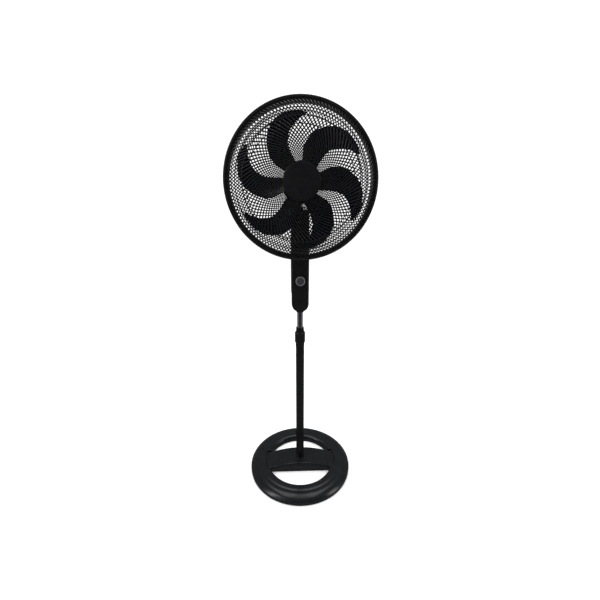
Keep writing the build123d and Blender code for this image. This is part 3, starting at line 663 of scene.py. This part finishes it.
def split_at(points, r):
    """The points with one more where the line crosses radius r on its way in."""
    for i, (p, q) in enumerate(zip(points, points[1:])):
        if p[0] > r > q[0]:
            t = (p[0] - r) / (p[0] - q[0])
            return points[:i + 1] + [(r, p[1] + (q[1] - p[1]) * t)] + points[i + 1:]
    return points


def base_profile():
    """The base ring's section from the outer foot over the crest and down the hole."""
    bottom = BASE.lo.z
    points = [(BASE_R - 6.0, bottom), (BASE_R - 0.8, bottom)]
    points += [(BASE_R, bottom + 0.8), (BASE_R, EDGE[1] - 1.0)]
    points += arc_points(EDGE, CREASE, 5.2, 18)
    points += arc_points(CREASE, CREST, 0.4, 5)[1:]
    points += arc_points(CREST, SHOULDER, 0.3, 5)[1:]
    points += arc_points(SHOULDER, HOLE_EDGE, 2.0, 8)[1:]
    points += [(BASE_HOLE_R, 10.0), (BASE_HOLE_R, bottom + 0.5)]
    points += [(BASE_HOLE_R + 0.6, bottom), (BASE_HOLE_R + 5, bottom)]
    return split_at(points, POCKET_R)


def base_columns(r):
    """The angle of each vertex round the base ring at one radius, and whether a pocket follows it."""
    side = math.asin(POCKET_HALF / r)
    spans = [(-side, side, POCKET_COLUMNS, True), (side, math.pi - side, OPEN_COLUMNS, False),
             (math.pi - side, math.pi + side, POCKET_COLUMNS, True),
             (math.pi + side, TAU - side, OPEN_COLUMNS, False)]
    return [(a + (b - a) * k / n, pocket) for a, b, n, pocket in spans for k in range(n)]


def walled(piece, thickness):
    """Gives a skin its wall, inwards from the face that shows."""
    skin = piece.modifiers.new("wall", "SOLIDIFY")
    skin.thickness = thickness * MM
    skin.offset = -1.0
    return piece


def make_base():
    """The ring, with one line of vertices along each side of the two pockets that take the crossbar."""
    profile = base_profile()
    verts = []
    for r, z in profile:
        verts += [Vector((r * math.cos(a), r * math.sin(a), z)) for a, _ in base_columns(r)]
    in_pocket = [pocket for _, pocket in base_columns(BASE_R)]
    size = len(in_pocket)
    faces = []
    for i, (p, q) in enumerate(zip(profile, profile[1:])):
        cut = max(p[0], q[0]) <= POCKET_R + 0.01 and min(p[1], q[1]) > POCKET_FLOOR
        for j in range(size):
            if cut and in_pocket[j]:
                continue
            j2 = (j + 1) % size
            faces.append((i * size + j, i * size + j2, (i + 1) * size + j2, (i + 1) * size + j))
    place(walled(mesh_piece("base_shell", verts, faces), BASE_WALL), "root", "base_gloss", "base_ring")


def bar_section():
    """(y, drop below the top) across the crossbar: rounded edge, flat top, rounded edge."""
    half, flat_steps, edge_steps = BAR.size.y / 2, 20, 6
    flat = 2 * (half - BAR_EDGE_R)
    bends = [math.pi / 2 * k / edge_steps for k in range(edge_steps + 1)]
    edge = [(-half + BAR_EDGE_R * (1 - math.cos(t)), BAR_EDGE_R * (1 - math.sin(t))) for t in bends]
    top = [(-half + BAR_EDGE_R + flat * k / flat_steps, 0.0) for k in range(1, flat_steps)]
    return edge + top + [(-y, drop) for y, drop in reversed(edge)]


def make_crossbar():
    """The arched bar: its ends follow the ring's radius and stand in the pockets on a tongue."""
    dip = (BASE_HOLE_R - 3, 21.2)
    top = smooth_through([(0, 42.0), (31, 40.6), (62, 36.2), (96, 28.6), dip, (144, 27.4)])
    end_r = BAR.size.x / 2
    section = bar_section()
    verts = []
    for i in range(BAR_SPANS + 1):
        u = -1 + 2 * i / BAR_SPANS
        row = []
        for y, drop in section:
            x = u * math.sqrt(end_r ** 2 - y ** 2)
            row.append(Vector((x, y, top(abs(x)) - drop)))
        foot = BAR.lo.z if abs(u) * end_r < BASE_HOLE_R - 0.8 else TONGUE_Z
        verts.append(Vector((row[0].x, row[0].y, foot)))
        verts += row
        verts.append(Vector((row[-1].x, row[-1].y, foot)))
    size = len(section) + 2
    faces = strip_faces(BAR_SPANS + 1, size)
    for i in (0, BAR_SPANS):
        lower = len(verts)
        verts += [Vector((p.x, p.y, TONGUE_Z)) for p in verts[i * size:(i + 1) * size]]
        faces += [(i * size + j, i * size + j + 1, lower + j + 1, lower + j) for j in range(size - 1)]
    place(walled(mesh_piece("crossbar_shell", verts, faces), BAR_WALL), "root", "base_gloss", "crossbar")


# ---- column


def make_tubes():
    tube = rectangle(TUBE_R - TUBE_WALL, TUBE_R, TUBE.lo.z, TUBE.hi.z, 0.4)
    place(lathe("column_tube", tube, "z", closed=True), "root", "tube_black", "outer_tube")
    rod = rectangle(STEM_R - STEM_WALL, STEM_R, STEM.lo.z, STEM.hi.z, 0.4)
    place(lathe("stem_tube", rod, "z", closed=True), "stem", "chrome", "inner_tube")
    place(detailed_copy("collet", 0.3), "root", "satin_black", "collet")


def make_clamp_nut():
    """The column nut, with grips that fade out below its shoulder and above its foot."""
    bore, r = 15.8, NUT.size.x / 2
    foot, head = NUT.lo.z, NUT.hi.z
    grip_low, grip_high = foot + 5, head - 4

    def grips(a, radius, z):
        if radius < r - 2.2 or not grip_low < z < grip_high:
            return radius
        fade = min(1.0, (z - grip_low) / 2, (grip_high - z) / 2)
        return radius - 1.1 * fade * max(0.0, math.cos(18 * a)) ** 2

    side_steps = 24
    side = [(r, foot + 2.5 + (head - foot - 6.0) * k / side_steps) for k in range(side_steps + 1)]
    profile = [(bore, foot), (r - 2.0, foot), (r - 0.6, foot + 0.8)] + side
    profile += [(r - 0.5, head - 2.0), (r - 2.0, head - 0.4), (r - 2.8, head)]
    profile += [(bore + 0.4, head), (bore, head - 0.5)]
    nut = lathe("clamp_nut", profile, "z", segments=216, closed=True, shape=grips)
    place(nut, "collar", "satin_black", "locking_nut")


# ---- neck, knob and head


def make_neck():
    for shell in ("neck_front_shell", "neck_rear_shell"):
        place(detailed_copy(shell, 1.0, segments=3), "stem", "satin_black", shell)
    place(detailed_copy("stem_socket", 0.5), "stem", "under_plastic", "stem_socket")
    place(detailed_copy("knob_bezel", 0.4), "stem", "satin_black", "knob_bezel")


def knob_pointer(face_y):
    """A low bar on the knob's face, from near its middle towards the top at rest."""
    ends = (KNOB.mid.z + 5.0, KNOB.mid.z + 12.5)
    verts = [Vector((u, face_y - 0.05 + 0.35 * v, z)) for z in ends for u, v in RIB_SECTION]
    size = len(RIB_SECTION)
    caps = [tuple(range(size)), tuple(range(size, 2 * size))]
    return verts, strip_faces(2, size, close_columns=True) + caps


def make_knob():
    """The speed knob: grips round it, a lip round its sunk face, and a blind hole for the shaft."""
    r, front, back = KNOB_R, KNOB.lo.y, KNOB.hi.y
    face_y = front + 0.8
    hole_r, hole_end = 3.05, back - 6.7

    def grips(a, radius, y):
        on_side = radius > r - 0.6 and y > front + 1.6
        return radius - (0.7 * max(0.0, math.cos(24 * a)) ** 2 if on_side else 0.0)

    side_steps = 10
    side = [(r, back - 0.4 - (back - front - 2.2) * k / side_steps) for k in range(side_steps + 1)]
    lip = [(r, front + 1.8), (r - 1.4, front), (r - 3.0, front), (r - 3.4, front + 0.9), (0.0, face_y)]
    profile = [(0.0, hole_end), (hole_r, hole_end), (hole_r, back), (r - 0.6, back)] + side
    profile += rounded(lip, [0, 0.8, 0.5, 0.4, 0])[1:]
    knob = turned(profile, "y", centre=(0, 0, KNOB.mid.z), segments=192, shape=grips)
    pieces = joined([knob, knob_pointer(face_y)])
    place(mesh_piece("knob", *pieces), "knob", "knob_grey", "speed_knob")


# CAD node, its body, its material slot and how far its edges are rounded, in millimetres
HEAD_PIECES = [
    ("motor_cover", "head", "satin_black", 0.5),
    ("osc_pull_knob", "pull_knob", "satin_black", 0.4),
    ("tilt_bracket", "tilt", "under_plastic", 0.5),
    ("osc_link", "link", "steel", 0.3),
    ("guard_nut", "head", "guard_plastic", 0.5),
]


def make_head():
    for node_name, body, slot, edge_mm in HEAD_PIECES:
        place(detailed_copy(node_name, edge_mm), body, slot, node_name)


def dress_cad_nodes():
    """Gives each CAD node that still shows the material of its slot."""
    for part in frame["record"]["subparts"]:
        shown = frame["nodes"][part["node"]]
        shown.data.materials.clear()
        shown.data.materials.append(MATERIALS[part["material_slot"]])


# ---- stage


def make_floor():
    """A wide round pale floor, a hair under the feet, that glossy reflections do not see."""
    rings = [0.5, 300, 700, 1500, 3000, 6000, 12000, 30000]
    floor = lathe("floor", [(r, -0.2) for r in rings], "z", segments=96)
    material, tree, shader = new_material("floor_paint", (0.87, 0.87, 0.87), 0.8, specular=0.1)
    speckle = blend_colours(tree, noise(tree, 0.002, 3.0), (0.865, 0.865, 0.865), (0.885, 0.885, 0.88))
    tree.links.new(speckle, shader.inputs["Base Color"])
    floor.data.materials.append(material)
    floor.visible_glossy = False


def make_flag():
    """A dark card in front, as photographers use: only glossy reflections see it."""
    half_width, low, high, middle_y, bow, columns = 1700.0, 30.0, 2600.0, -1400.0, 500.0, 13
    across = [-1 + 2 * k / (columns - 1) for k in range(columns)]
    verts = [Vector((half_width * u, middle_y + bow * u * u, z)) for z in (low, high) for u in across]
    card = mesh_piece("dark_card", verts, strip_faces(2, columns))
    material, _, _ = new_material("card_cloth", (0.02, 0.02, 0.02), 0.9, specular=0.1)
    card.data.materials.append(material)
    card.visible_camera = False
    card.visible_diffuse = False
    card.visible_shadow = False
    card.visible_transmission = False


# name, place, target and size in metres, and power in watts
LIGHTS = [
    ("key", (-2.2, -1.2, 2.6), (0, 0, 0.7), (1.2, 1.6), 40.0),
    ("fill", (2.4, -0.8, 1.8), (0, 0, 0.7), (1.0, 1.6), 18.0),
    ("top", (0, 0.6, 3.0), (0, 0, 0.5), (2.0, 2.0), 30.0),
]
# the background's strength as seen and as light, and as glossy surfaces reflect it
SKY, SKY_REFLECTED = 1.27, 0.18
CAMERA_DISTANCE, CAMERA_HEIGHT = 1.0812, 1.0230
CAMERA_SIDE_DEG, CAMERA_DOWN_DEG = 1.9, 15.46
LENS_MM, SENSOR_MM = 18.396, 36.0


def area_light(name, place_m, target_m, size, power):
    lamp = bpy.data.lights.new(name, "AREA")
    lamp.shape = "RECTANGLE"
    lamp.size, lamp.size_y = size
    lamp.energy = power
    made = bpy.data.objects.new(name, lamp)
    made.location = place_m
    made.rotation_euler = (Vector(target_m) - Vector(place_m)).to_track_quat("-Z", "Y").to_euler()
    bpy.context.scene.collection.objects.link(made)


def make_world():
    world = bpy.data.worlds.new("studio")
    world.use_nodes = True
    tree = world.node_tree
    background = tree.nodes["Background"]
    background.inputs["Color"].default_value = (1.0, 1.0, 1.0, 1.0)
    rays = tree.nodes.new("ShaderNodeLightPath")
    strength = tree.nodes.new("ShaderNodeMapRange")
    strength.inputs["To Min"].default_value = SKY
    strength.inputs["To Max"].default_value = SKY_REFLECTED
    tree.links.new(rays.outputs["Is Glossy Ray"], strength.inputs["Value"])
    tree.links.new(strength.outputs["Result"], background.inputs["Strength"])
    bpy.context.scene.world = world


def make_stage():
    make_floor()
    make_flag()
    make_world()
    for light in LIGHTS:
        area_light(*light)
    bpy.context.scene.view_settings.view_transform = "Standard"


def make_camera():
    camera = bpy.data.cameras.new("camera")
    camera.lens = LENS_MM
    camera.sensor_width = SENSOR_MM
    made = bpy.data.objects.new("camera", camera)
    side = math.radians(CAMERA_SIDE_DEG)
    made.location = (-CAMERA_DISTANCE * math.sin(side), -CAMERA_DISTANCE * math.cos(side), CAMERA_HEIGHT)
    made.rotation_euler = (math.radians(90 - CAMERA_DOWN_DEG), 0, -side)
    bpy.context.scene.collection.objects.link(made)
    bpy.context.scene.camera = made


dress_cad_nodes()
make_base()
make_crossbar()
make_tubes()
make_clamp_nut()
make_neck()
make_knob()
make_head()
make_front_guard()
make_rear_guard()
make_guard_band()
make_centre_cap()
make_impeller()
make_blade_nut()
make_stage()
make_camera()
